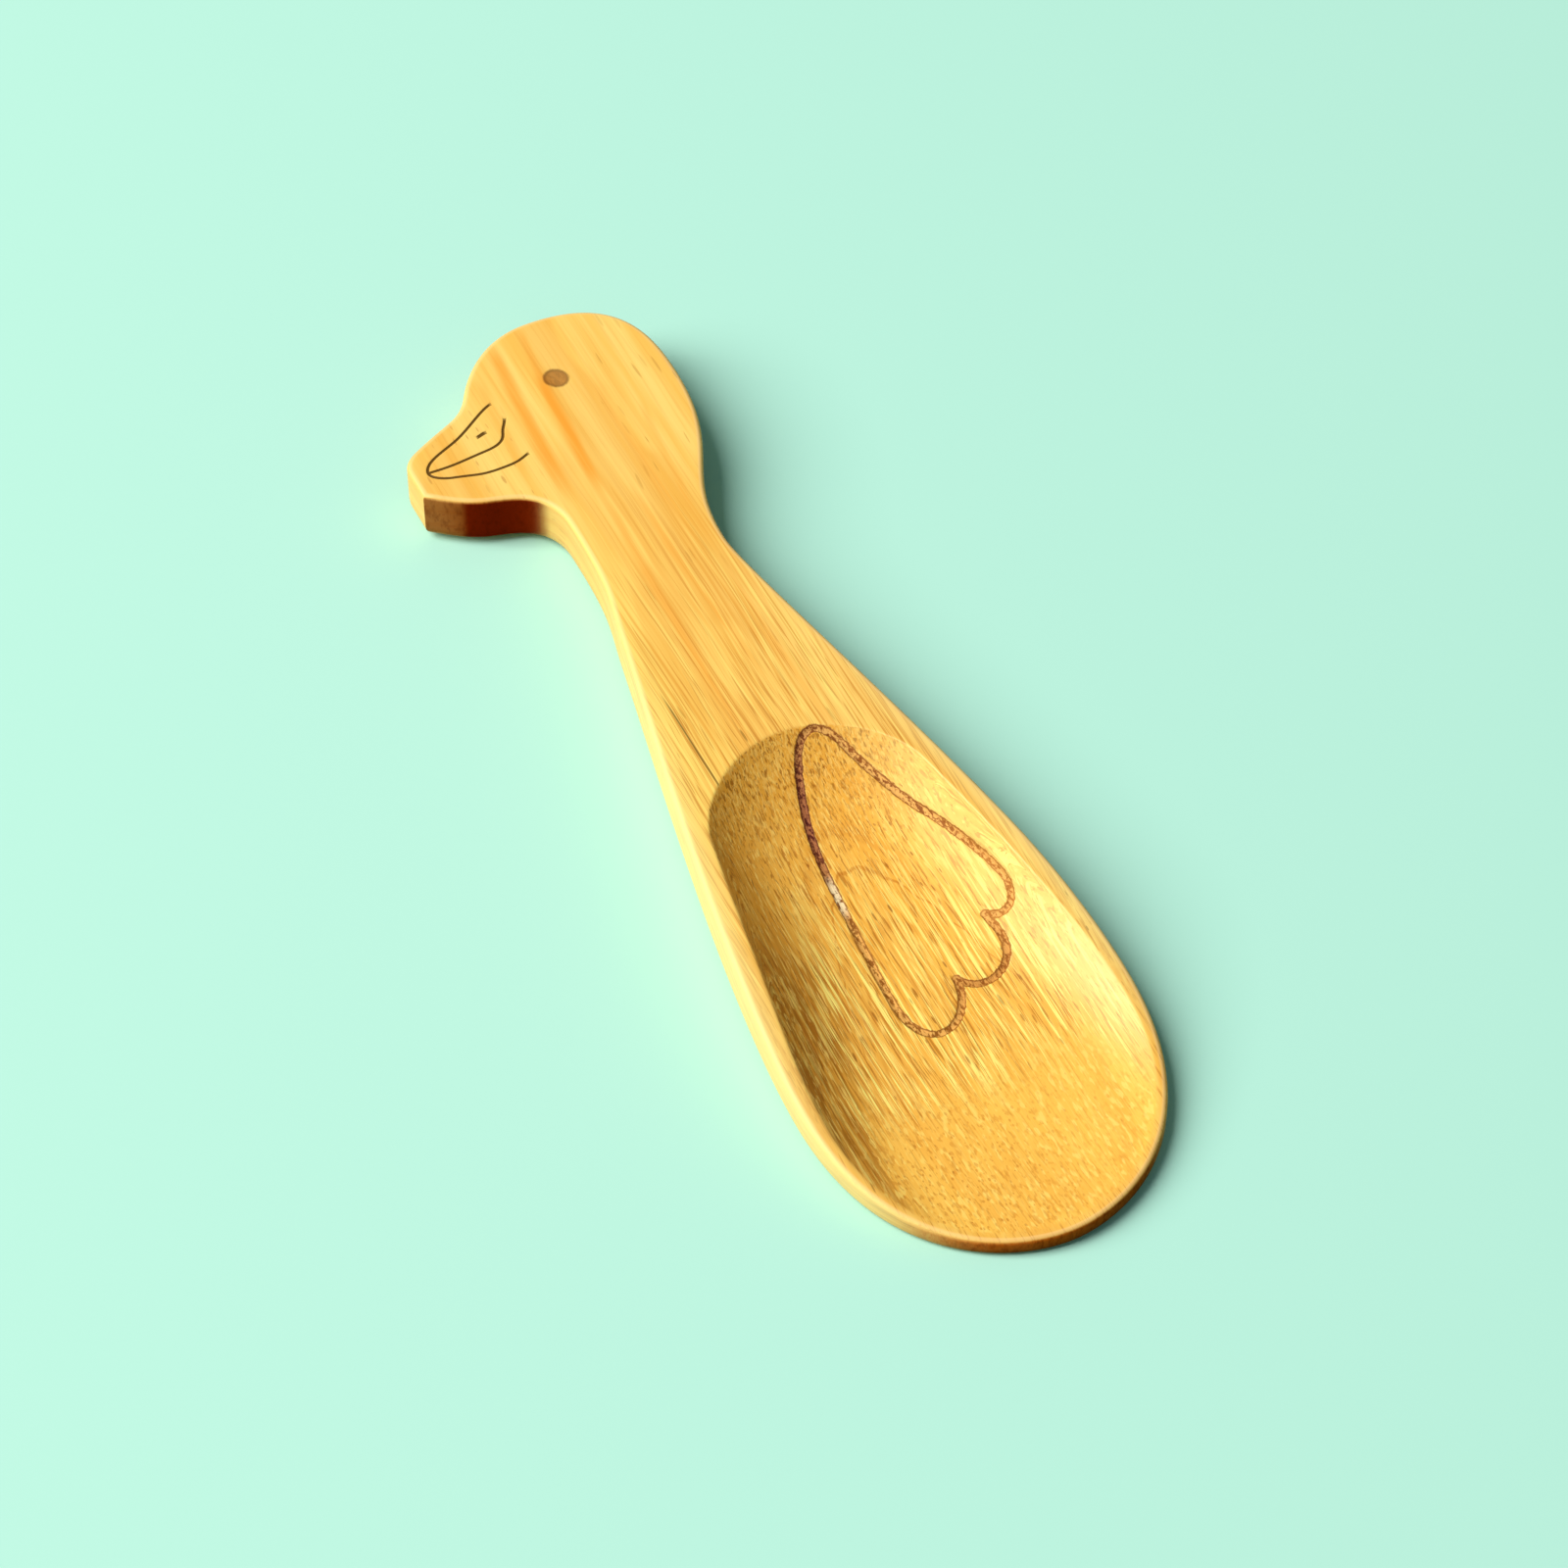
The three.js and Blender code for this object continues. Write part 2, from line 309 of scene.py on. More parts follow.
BILL_LINES = [
    [station(-59.26, -7.6, -72, 0, 1.4), station(-56.26, -12.8, -62, 2.2, 2.4),
     station(-52.86, -18.3, -10, 1.9, 0)],
    [station(-52.86, -18.3, -4, 0, 0.8), station(-50.96, -16.0, 74, 1.2, 3.0),
     station(-49.76, -10.0, 90, 3, 1.6), station(-50.36, -6.9, 112, 1.2, 0)],
    [station(-52.86, -18.3, 85, 0, 3.5), station(-52.96, -10.9, 93, 3.6, 1.8),
     station(-54.56, -8.0, 158, 1.1, 0.8), station(-56.26, -7.0, 150, 0.9, 0)],
]
NOSTRIL_LINES = [[station(-55.36, -10.75, 102, 0, 0.3), station(-55.56, -9.95, 102, 0.3, 0)]]
EYE_LINES = [[station(-59.71, 1.05, 40, 0, 0.1), station(-59.41, 1.3, 40, 0.1, 0)]]


def rows_beside(points, offsets):
    """Copies of a line's points, moved sideways by each offset."""
    ahead = np.gradient(points, axis=0)
    ahead /= np.linalg.norm(ahead, axis=1)[:, None] + 1e-9
    side = np.column_stack([-ahead[:, 1], ahead[:, 0]])
    return np.vstack([points + side * offset for offset in offsets])


def mark_rows(lines, half_width, step):
    """Rows of points along a mark's lines and beside them."""
    offsets = [side * share * half_width for share in MARK_ROWS for side in (-1, 1)][1:]
    return np.vstack([rows_beside(chain(line, step), offsets) for line in lines])


def eye_rows():
    """Rings of points over the eye."""
    middle = np.mean([end.place for end in EYE_LINES[0]], axis=0)
    rings = [middle[None, :]]
    for reach in np.linspace(0.14, 1.25, 9) * EYE_HALF_WIDTH:
        angles = np.linspace(0, 2 * math.pi, max(8, int(reach / 0.03)), endpoint=False)
        rings.append(middle + reach * np.column_stack([np.cos(angles), np.sin(angles)]))
    return np.vstack(rings)


# The wood's mesh

def thinned(outline, inset):
    """The outline without the points beside a sharp corner that would cross when inset."""
    while True:
        moved = outline + inward_directions(outline) * inset
        steps = np.roll(outline, -1, axis=0) - outline
        inset_steps = np.roll(moved, -1, axis=0) - moved
        kept = np.sum(steps * inset_steps, axis=1) / np.sum(steps * steps, axis=1)
        if kept.min() > LEAST_STEP_KEPT:
            return outline
        first = int(np.argmin(kept))
        second = (first + 1) % len(outline)
        turned = np.linalg.norm(inward_directions(outline), axis=1)
        outline = np.delete(outline, first if turned[first] < turned[second] else second, axis=0)


def inside(points, loop):
    """Which of the points lie within a closed loop."""
    ends = np.roll(loop, -1, axis=0)
    x, y = points[:, 0][:, None], points[:, 1][:, None]
    crosses = (loop[:, 1] > y) != (ends[:, 1] > y)
    rise = np.where(ends[:, 1] == loop[:, 1], 1e-12, ends[:, 1] - loop[:, 1])
    reach = loop[:, 0] + (y - loop[:, 1]) * (ends[:, 0] - loop[:, 0]) / rise
    return np.sum(crosses & (x < reach), axis=1) % 2 == 1


def apart(points, kept, gap):
    """The points that keep a gap to those kept already and to each other."""
    chosen = []
    cells = {}
    for point in list(kept) + list(points):
        is_new = len(chosen) >= len(kept)
        column, row = int(point[0] // gap), int(point[1] // gap)
        near = [other for i in (-1, 0, 1) for j in (-1, 0, 1)
                for other in cells.get((column + i, row + j), [])]
        if is_new and any(np.hypot(*(point - other)) < gap for other in near):
            continue
        cells.setdefault((column, row), []).append(point)
        chosen.append(point)
    return np.array(chosen[len(kept):])


def filled_loop(loop, inner):
    """Triangles inside a loop, through the inner points. Vertices begin with the loop's."""
    count = len(loop)
    vertices = [Vector(point) for point in np.vstack([loop, inner])]
    edges = [(index, (index + 1) % count) for index in range(count)]
    result = delaunay_2d_cdt(vertices, edges, [list(range(count))], 1, 1e-7, True)
    places, _, faces, origins, _, _ = result
    middles = np.array([np.mean([places[corner] for corner in face], axis=0) for face in faces])
    within = inside(middles, loop)
    names = [origin[0] for origin in origins]
    return [[names[corner] for corner in face] for face, kept in zip(faces, within) if kept]


def lifted(points, heights):
    """Flat points, raised to their heights."""
    return np.column_stack([points, np.zeros(len(points)) + heights])


def distances(places, others):
    """How far each place is from the nearest of the others."""
    tree = kdtree.KDTree(len(others))
    for index, other in enumerate(others):
        tree.insert(other, index)
    tree.balance()
    return np.array([tree.find(place)[2] for place in places])


def face_inner_points(ring):
    """Points of the top face: finest along the marks, then the mouth's edge, then a plain field."""
    marks = [mark_rows(WING_LINES, WING_HALF_WIDTH, 0.24),
             mark_rows(BILL_LINES, BILL_LINE_HALF_WIDTH, 0.12),
             mark_rows(NOSTRIL_LINES, NOSTRIL_HALF_WIDTH, 0.1), eye_rows()]
    fine = apart(np.vstack(marks), ring[:0], MARK_GAP)
    outer = [ring + inward_directions(ring) * inset for inset in OUTLINE_ROWS]
    edge = np.vstack([rows_beside(MOUTH, MOUTH_ROWS)] + outer)
    edge = edge[inside(edge, ring)]
    edge = apart(edge, np.vstack([fine, ring]), EDGE_GAP)
    xs = np.arange(CROWN_X, TIP_X, FACE_SPACING)
    ys = np.arange(-BILL_REACH, BODY_HALF, FACE_SPACING * 0.87)
    field = np.array([(x + FACE_SPACING * 0.5 * (row % 2), y)
                      for row, y in enumerate(ys) for x in xs])
    field = field[inside(field, ring)]
    others = np.vstack([fine, edge, ring])
    gaps = distances(lifted(field, 0), lifted(others, 0))
    return np.vstack([fine, edge, field[gaps > FACE_SPACING * 0.45]])


def underside_points(ring):
    """A plain field of points for the flat underside."""
    xs = np.arange(CROWN_X, TIP_X, UNDERSIDE_SPACING)
    ys = np.arange(-BILL_REACH, BODY_HALF, UNDERSIDE_SPACING)
    field = np.array([(x, y) for y in ys for x in xs])
    return apart(field[inside(field, ring)], ring, UNDERSIDE_GAP)


def edge_distances(places):
    """How far each place is from the upper edge of the outline."""
    outline = outline_points()
    after = np.roll(outline, -1, axis=0)
    edge = np.vstack([outline + (after - outline) * share for share in (0, 0.25, 0.5, 0.75)])
    return distances(places, lifted(edge, top_height(edge[:, 0])))


def side_rings(outline):
    """Rings of places up the side wall, rounded below and above."""
    inward = inward_directions(outline)

    def ring(full, fine, angle, on_top):
        rounds = round_at(outline[:, 0], full, fine)
        places = outline + inward * (rounds * (1 - math.sin(angle)))[:, None]
        sinks = rounds * (1 - math.cos(angle))
        return lifted(places, top_height(places[:, 0]) - sinks if on_top else sinks)

    quarter = [math.pi / 2 * step / ROUND_STEPS for step in range(ROUND_STEPS + 1)]
    below = [ring(UNDERSIDE_ROUND, TIP_UNDERSIDE_ROUND, angle, False) for angle in quarter]
    above = [ring(TOP_ROUND, TIP_TOP_ROUND, angle, True) for angle in quarter[::-1]]
    low, high = below[-1], above[0]
    between = [low + (high - low) * share for share in (0.25, 0.5, 0.75)]
    return below + between + above


def wood_mesh():
    """The whole spoon: side wall, flat underside and top face, as one closed surface."""
    rings = side_rings(thinned(outline_points(), UNDERSIDE_ROUND))
    count = len(rings[0])
    top_start = (len(rings) - 1) * count
    faces = []
    for lower in range(0, top_start, count):
        upper = lower + count
        for index in range(count):
            after = (index + 1) % count
            faces.append([lower + index, lower + after, upper + after, upper + index])

    def cap(loop, inner, loop_start, inner_start):
        """Faces that fill a loop, counted in the vertices of the whole mesh."""
        return [[loop_start + corner if corner < count else inner_start + corner - count
                 for corner in face] for face in filled_loop(loop, inner)]

    first, last = rings[0][:, :2], rings[-1][:, :2]
    below, inner = underside_points(first), face_inner_points(last)
    below_start = len(rings) * count
    inner_start = below_start + len(below)
    faces += [corners[::-1] for corners in cap(first, below, 0, below_start)]
    faces += cap(last, inner, top_start, inner_start)

    places = np.vstack(rings + [lifted(below, 0), lifted(inner, face_height(inner))])
    mesh = bpy.data.meshes.new("duck_spoon_wood")
    mesh.from_pydata((places * MM).tolist(), [], faces)
    mesh.polygons.foreach_set("use_smooth", [True] * len(mesh.polygons))
    mesh.set_sharp_from_angle(angle=math.radians(SHARP_DEGREES))
    on_face = np.arange(len(places)) >= inner_start
    sunk = np.where(on_face, top_height(places[:, 0]) - places[:, 2], 0.0)
    values = {"burn": np.full(len(places), -1.0), "char": np.zeros(len(places)),
              "sunk": sunk, "from_edge": edge_distances(places)}
    for name, value in values.items():
        attribute = mesh.attributes.new(name, "FLOAT", "POINT")
        attribute.data.foreach_set("value", value)
    return mesh


# Burning a line into the wood

def line_object(name, lines, step):
    """The lines of one mark, laid on the wood's face."""
    curve = bpy.data.curves.new(name, "CURVE")
    curve.dimensions = "3D"
    for line in lines:
        flat = chain(line, step)
        heights = face_height(flat)
        spline = curve.splines.new("POLY")
        spline.points.add(len(flat) - 1)
        for point, (x, y), z in zip(spline.points, flat, heights):
            point.co = (x * MM, y * MM, z * MM, 1)
    return bpy.data.objects.new(name, curve)


def burning_tree():
    """Marks the wood near a line and sinks it there."""
    tree = bpy.data.node_groups.new("burn a line", "GeometryNodeTree")
    for label, kind in (("Wood", "Geometry"), ("Line", "Object"), ("Half Width", "Float"),
                        ("Depth", "Float"), ("Char", "Float"), ("Finish", "Material")):
        tree.interface.new_socket(label, in_out="INPUT", socket_type="NodeSocket" + kind)
    tree.interface.new_socket("Wood", in_out="OUTPUT", socket_type="NodeSocketGeometry")
    add, link = tree.nodes.new, tree.links.new
    given, result = add("NodeGroupInput"), add("NodeGroupOutput")

    def sums(operation, first, second):
        node = add("ShaderNodeMath")
        node.operation = operation
        for socket, value in zip(node.inputs, (first, second)):
            if isinstance(value, (int, float)):
                socket.default_value = value
            else:
                link(value, socket)
        return node.outputs[0]

    def stored(name):
        node = add("GeometryNodeInputNamedAttribute")
        node.inputs["Name"].default_value = name
        return node.outputs["Attribute"]

    def store(wood, name, value):
        node = add("GeometryNodeStoreNamedAttribute")
        node.inputs["Name"].default_value = name
        link(wood, node.inputs["Geometry"])
        link(value, node.inputs["Value"])
        return node.outputs["Geometry"]

    # Reach is 1 on the line, 0 at half its width and -1 far away
    info = add("GeometryNodeObjectInfo")
    link(given.outputs["Line"], info.inputs["Object"])
    thread = add("GeometryNodeCurveToMesh")
    link(info.outputs["Geometry"], thread.inputs["Curve"])
    nearest = add("GeometryNodeProximity")
    nearest.target_element = "EDGES"
    link(thread.outputs["Mesh"], nearest.inputs[0])
    share = sums("DIVIDE", nearest.outputs["Distance"], given.outputs["Half Width"])
    reach = sums("MAXIMUM", sums("SUBTRACT", 1.0, share), -1.0)

    # The nearest mark gives the char
    nearer = sums("GREATER_THAN", reach, stored("burn"))
    choice = add("GeometryNodeSwitch")
    choice.input_type = "FLOAT"
    link(nearer, choice.inputs["Switch"])
    link(stored("char"), choice.inputs["False"])
    link(given.outputs["Char"], choice.inputs["True"])
    charred = store(given.outputs["Wood"], "char", choice.outputs["Output"])
    marked = store(charred, "burn", sums("MAXIMUM", stored("burn"), reach))

    # The groove has soft shoulders and a flat floor
    sunk = add("ShaderNodeMapRange")
    sunk.interpolation_type = "SMOOTHSTEP"
    sunk.inputs["From Min"].default_value = -0.25
    sunk.inputs["From Max"].default_value = 0.6
    link(reach, sunk.inputs["Value"])
    drop = sums("MULTIPLY", sums("MULTIPLY", sunk.outputs["Result"], given.outputs["Depth"]), -1.0)
    down = add("ShaderNodeCombineXYZ")
    link(drop, down.inputs["Z"])
    move = add("GeometryNodeSetPosition")
    link(marked, move.inputs["Geometry"])
    link(down.outputs["Vector"], move.inputs["Offset"])

    whole = add("GeometryNodeRealizeInstances")
    coat = add("GeometryNodeSetMaterial")
    link(move.outputs["Geometry"], whole.inputs["Geometry"])
    link(whole.outputs["Geometry"], coat.inputs["Geometry"])
    link(given.outputs["Finish"], coat.inputs["Material"])
    link(coat.outputs["Geometry"], result.inputs["Wood"])
    return tree


def burn_marks(wood, finish):
    """Burns every mark into the wood's mesh."""
    tree = burning_tree()
    inputs = {item.name: item.identifier for item in tree.interface.items_tree
              if item.in_out == "INPUT"}
    marks = [
        # Name, lines, step, half width, depth, char
        ("wing_line", WING_LINES, 0.12, WING_HALF_WIDTH, WING_DEPTH, 1.0),
        ("bill_line", BILL_LINES, 0.06, BILL_LINE_HALF_WIDTH, BILL_LINE_DEPTH, 0.95),
        ("nostril_line", NOSTRIL_LINES, 0.06, NOSTRIL_HALF_WIDTH, BILL_LINE_DEPTH, 0.95),
        ("eye_spot", EYE_LINES, 0.06, EYE_HALF_WIDTH, EYE_DEPTH, 0.75),
    ]
    threads = []
    for name, lines, step, half_width, depth, char in marks:
        thread = line_object(name, lines, step)
        threads.append(thread)
        modifier = wood.modifiers.new(name, "NODES")
        modifier.node_group = tree
        values = {"Line": thread, "Half Width": half_width * MM, "Depth": depth * MM,
                  "Char": char, "Finish": finish}
        for label, value in values.items():
            modifier[inputs[label]] = value
    graph = bpy.context.evaluated_depsgraph_get()
    burnt = bpy.data.meshes.new_from_object(wood.evaluated_get(graph))
    wood.modifiers.clear()
    wood.data = burnt
    for thread in threads:
        bpy.data.curves.remove(thread.data)


# Materials

class Sheet:
    """One node tree, laid out by short calls. A value is a number, a tuple or a socket."""

    def __init__(self, tree):
        self.tree = tree

    def put(self, socket, value):
        if isinstance(value, bpy.types.NodeSocket):
            self.tree.links.new(value, socket)
        elif value is not None:
            socket.default_value = value

    def node(self, kind, inputs=None, **settings):
        made = self.tree.nodes.new(kind)
        for name, value in settings.items():
            setattr(made, name, value)
        for name, value in (inputs or {}).items():
            self.put(made.inputs[name], value)
        return made

    def group(self, tree, inputs):
        """The mask that a group makes of its inputs."""
        return self.node("ShaderNodeGroup", inputs, node_tree=tree).outputs["Mask"]

    def attribute(self, name):
        return self.node("ShaderNodeAttribute", attribute_name=name).outputs["Fac"]

    def math(self, operation, first, second=None):
        return self.node("ShaderNodeMath", {0: first, 1: second}, operation=operation).outputs[0]

    def times(self, *values):
        product = values[0]
        for value in values[1:]:
            product = self.math("MULTIPLY", product, value)
        return product

    def plus(self, first, second):
        return self.math("ADD", first, second)

    def minus(self, first, second):
        return self.math("SUBTRACT", first, second)

    def away(self, value, middle):
        """How far a value is from the middle, on either side."""
        return self.math("ABSOLUTE", self.minus(value, middle))

    def ramp(self, value, low, high, to_low=0.0, to_high=1.0):
        made = self.node("ShaderNodeMapRange", {
            "Value": value, "From Min": low, "From Max": high,
            "To Min": to_low, "To Max": to_high}, interpolation_type="SMOOTHSTEP")
        return made.outputs["Result"]

    def less(self, mask, rest):
        """1 where the mask is empty, down to the rest where it is full."""
        return self.ramp(mask, 0.0, 1.0, 1.0, rest)

    def mix(self, share, first, second):
        made = self.node("ShaderNodeMix", {"Factor": share, 6: first, 7: second}, data_type="RGBA")
        return made.outputs[2]

    def parts(self, vector):
        return list(self.node("ShaderNodeSeparateXYZ", {0: vector}).outputs)

    def vector(self, x, y, z):
        return self.node("ShaderNodeCombineXYZ", {0: x, 1: y, 2: z}).outputs[0]

    def moved(self, place, shift):
        return self.node("ShaderNodeVectorMath", {0: place, 1: shift}, operation="ADD").outputs[0]

    def stretched(self, place, lengths):
        """A place in millimetres, divided by a length along each axis."""
        made = self.node("ShaderNodeVectorMath", {0: place, 1: lengths}, operation="DIVIDE")
        return made.outputs[0]

    def noise(self, place, detail=2.0, rough=0.5):
        made = self.node("ShaderNodeTexNoise", {
            "Vector": place, "Scale": 1.0, "Detail": detail, "Roughness": rough})
        return made.outputs["Fac"]


def colour(red, green, blue):
    """A colour written as on a screen, 0 to 255, for a socket."""
    def level(value):
        share = value / 255
        return share / 12.92 if share <= 0.04045 else ((share + 0.055) / 1.055) ** 2.4
    return (level(red), level(green), level(blue), 1.0)


ORIGIN = (0.0, 0.0, 0.0)


def mask_group(name, inputs):
    """An empty group that makes a mask: its sheet, its inputs and the mask's socket."""
    tree = bpy.data.node_groups.new(name, "ShaderNodeTree")
    for label, value in inputs.items():
        kind = "NodeSocketVector" if isinstance(value, tuple) else "NodeSocketFloat"
        socket = tree.interface.new_socket(label, in_out="INPUT", socket_type=kind)
        socket.default_value = value
    tree.interface.new_socket("Mask", in_out="OUTPUT", socket_type="NodeSocketFloat")
    sheet = Sheet(tree)
    given = sheet.node("NodeGroupInput").outputs
    mask = sheet.node("NodeGroupOutput").inputs["Mask"]
    return sheet, given, mask


def grain_cells(sheet, given, waves, sway):
    """A place counted in the grain's lengths, widths and thicknesses, swaying a little sideways."""
    drift = sheet.noise(sheet.stretched(given["Place"], waves), 1.0)
    sideways = sheet.vector(0.0, sheet.times(drift, sway), 0.0)
    sizes = sheet.vector(given["Length"], given["Width"], given["Thickness"])
    seeds = sheet.vector(given["Seed"], given["Seed"], given["Seed"])
    return sheet.moved(sheet.stretched(sheet.moved(given["Place"], sideways), sizes), seeds)


def pore_group():
    """Slim vessels along the grain: dashes on a flat face, dots where the face cuts across."""
    sheet, given, mask = mask_group("wood pores", {
        "Place": ORIGIN, "Length": 10.0, "Width": 0.6, "Thickness": 0.3,
        "Fullness": 0.3, "Seed": 0.0})
    place = grain_cells(sheet, given, (9.0, 3.0, 3.0), 0.9)
    cells = sheet.node("ShaderNodeTexVoronoi", {"Vector": place, "Scale": 1.0}).outputs
    chance = sheet.node("ShaderNodeSeparateColor", {"Color": cells["Color"]}).outputs
    size = sheet.times(given["Fullness"], sheet.ramp(chance["Red"], 0.0, 1.0, 0.45, 1.15))
    pore = sheet.ramp(cells["Distance"], sheet.times(size, 0.55), size, 1.0, 0.0)
    depth = sheet.ramp(chance["Green"], 0.0, 1.0, 0.35, 1.0)
    sheet.put(mask, sheet.times(pore, depth))
    return sheet.tree


def streak_group():
    """One long soft streak of colour along the grain, from one place to another."""
    sheet, given, mask = mask_group("wood streak", {
        "Place": ORIGIN, "From": ORIGIN, "To": (10.0, 0.0, 0.0), "Width": 1.0, "Wander": 0.5})
    x, y, _ = sheet.parts(given["Place"])
    start_x, start_y, _ = sheet.parts(given["From"])
    end_x, end_y, _ = sheet.parts(given["To"])
    along = sheet.math("DIVIDE", sheet.minus(x, start_x), sheet.minus(end_x, start_x))
    middle = sheet.plus(sheet.times(sheet.minus(end_y, start_y), along), start_y)
    waver = sheet.noise(sheet.stretched(given["Place"], (11.0, 4.0, 9.0)))
    wander = sheet.times(sheet.minus(waver, 0.5), given["Wander"])
    away = sheet.math("DIVIDE", sheet.away(sheet.plus(y, wander), middle), given["Width"])
    across = sheet.ramp(away, 0.15, 1.0, 1.0, 0.0)
    begins = sheet.ramp(along, -0.06, 0.16)
    ends = sheet.ramp(along, 0.7, 1.06, 1.0, 0.0)
    sheet.put(mask, sheet.times(across, begins, ends))
    return sheet.tree


def fibre_group():
    """Thin wavy lines along the grain."""
    sheet, given, mask = mask_group("wood fibres", {
        "Place": ORIGIN, "Length": 24.0, "Width": 0.5, "Thickness": 0.8,
        "Begin": 0.55, "Full": 0.65, "Seed": 0.0, "Detail": 2.0})
    place = grain_cells(sheet, given, (30.0, 8.0, 8.0), 1.2)
    fibres = sheet.noise(place, given["Detail"], 0.6)
    sheet.put(mask, sheet.ramp(fibres, given["Begin"], given["Full"]))
    return sheet.tree


# Orange streaks along the plank: from, to, width, wander, how strong
STREAKS = [
    ((-61.0, -0.4), (-40.0, -2.2), 1.05, 0.9, 0.85),
    ((-68.5, 0.6), (-57.0, -0.6), 0.6, 0.8, 0.35),
    ((-44.0, -1.8), (2.0, -3.6), 0.8, 1.2, 0.4),
    ((-68.5, -3.6), (-42.0, -5.4), 1.35, 1.0, 0.75),
    ((-64.0, -7.0), (-46.0, -8.4), 0.9, 0.9, 0.3),
    ((-60.0, 5.2), (-30.0, 4.6), 1.0, 1.2, 0.25),
    ((-52.0, 8.4), (-34.0, 6.6), 0.6, 1.2, 0.3),
    ((-40.0, 1.6), (-6.0, 2.4), 0.7, 1.2, 0.35),
    ((-22.0, 5.4), (4.0, 6.6), 0.7, 1.0, 0.3),
]

# Arches in the bowl: where their middle is, width, how strong
ARCHES = [(18.0, 0.45, 0.7), (26.0, 1.4, 0.25), (12.5, 1.2, 0.2)]


class WoodSheet(Sheet):
    """The wood's nodes. Masks say where on the spoon, and layers build up colour and relief."""

    def __init__(self, tree):
        super().__init__(tree)
        self.pores, self.fibres, self.streak = pore_group(), fibre_group(), streak_group()
        here = self.node("ShaderNodeTexCoord").outputs
        scaled = self.node("ShaderNodeVectorMath", {0: here["Object"], "Scale": 1 / MM},
                           operation="SCALE")
        self.place = scaled.outputs[0]
        self.x, self.y, self.z = self.parts(self.place)
        self.nx, self.ny, self.nz = self.parts(here["Normal"])
        self.find_places()
        self.fine_lines = self.lines(14.0, 0.26, 0.5, 0.35, 0.65, 9.0)
        self.relief = 0.0

    def find_places(self):
        """Masks by where a point lies and which way it faces."""
        x, ramp, times = self.x, self.ramp, self.times
        across = self.math("ABSOLUTE", self.nx)
        self.in_bowl = ramp(self.attribute("sunk"), 0.02, 0.16)
        self.not_in_bowl = self.less(self.in_bowl, 0.0)
        self.from_edge = self.attribute("from_edge")
        self.on_head = ramp(x, -30.0, -46.0)
        self.at_tip = times(ramp(x, 41.0, 53.0), ramp(self.math("ABSOLUTE", self.ny), 0.5, 0.25))
        self.at_neck_end = times(self.in_bowl, ramp(x, 15.0, 3.0))
        self.end_grain = times(ramp(across, 0.45, 0.9), ramp(self.nz, 0.85, 0.5))
        # Faces turned towards the lamp, where light is painted on
        self.facing_lamp = ramp(self.ny, -0.1, -0.75)
        self.bill_half = ramp(self.y, 12.0, -8.0, 0.4, 1.0)
        # The bowl's wall turned away from the lamp, where shade is painted on
        self.shaded_far_side = times(self.in_bowl, ramp(self.ny, 0.1, 0.6))
        self.on_plank = self.less(self.in_bowl, 0.4)
        self.only_plank = ramp(self.on_plank, 0.4, 1.0)
        self.busy = times(ramp(x, -46.0, -12.0, 0.2, 1.0), self.less(self.at_tip, 0.15))
        self.cut_short = times(self.in_bowl, self.less(self.at_tip, 0.3),
                               self.less(self.at_neck_end, 0.7))

        # On the side walls the fibres follow the wall, so that no line is cut short
        on_wall = times(ramp(self.math("ABSOLUTE", self.nz), 0.75, 0.3), ramp(across, 0.85, 0.6))
        self.grain = self.vector(x, times(self.y, self.less(on_wall, 0.06)), self.z)

    def lines(self, *sizes):
        names = ("Length", "Width", "Thickness", "Begin", "Full", "Seed", "Detail")
        return self.group(self.fibres, {"Place": self.grain, **dict(zip(names, sizes))})

    def dashes(self, *sizes):
        names = ("Length", "Width", "Thickness", "Fullness", "Seed")
        return self.group(self.pores, {"Place": self.grain, **dict(zip(names, sizes))})

    def streak_mask(self, start, end, width, wander):
        return self.group(self.streak, {"Place": self.place, "From": (*start, 0.0),
                                        "To": (*end, 0.0), "Width": width, "Wander": wander})

    def lay(self, mask, tint, rise=0.0):
        """One more layer of colour. It stands up by the rise, or sinks where that is below 0."""
        if isinstance(tint, tuple):
            tint = colour(*tint)
        self.tint = self.mix(mask, self.tint, tint)
        if rise:
            self.relief = self.plus(self.relief, self.times(mask, rise))

    def bands(self):
        """Broad bands of yellow and orange, paler along the edges of the plank."""
        x, y, ramp, times = self.x, self.y, self.ramp, self.times
        broad = self.noise(self.stretched(self.grain, (70.0, 3.4, 6.0)), 3.0, 0.6)
        yellow = self.mix(self.on_head, colour(250, 208, 108), colour(251, 216, 120))
        orange = self.mix(self.on_head, colour(242, 186, 80), colour(245, 193, 88))
        self.tint = self.mix(ramp(broad, 0.33, 0.68), yellow, orange)
        self.lay(times(self.in_bowl, 0.6), (246, 184, 72))
        self.lay(times(self.at_tip, self.in_bowl, 0.6), (255, 200, 86))
        bill_edge = times(ramp(y, -2.5, -8.0), ramp(x, -46.0, -24.0), ramp(x, 30.0, 0.0), 0.55)
        far_edge = times(ramp(y, 1.0, 7.0), ramp(x, -34.0, -20.0), ramp(x, 16.0, 2.0), 0.5)
        self.lay(times(bill_edge, self.not_in_bowl), (255, 226, 118))
        self.lay(times(far_edge, self.not_in_bowl), (252, 220, 128))

    def growth_rings(self):
        """Growth rings lie nearly flat, so the dish cuts them as closed lines."""
        bend = self.times(self.y, self.y, 0.006)
        warp = self.noise(self.stretched(self.place, (38.0, 9.0, 9.0)))
        height = self.plus(self.plus(self.z, bend), self.times(warp, 3.2))
        ring = self.math("FRACT", self.math("DIVIDE", height, 2.3))
        rings = self.times(self.ramp(ring, 0.45, 0.93), self.ramp(ring, 0.93, 1.0, 1.0, 0.0))
        self.lay(self.times(rings, 0.3), (228, 158, 58))

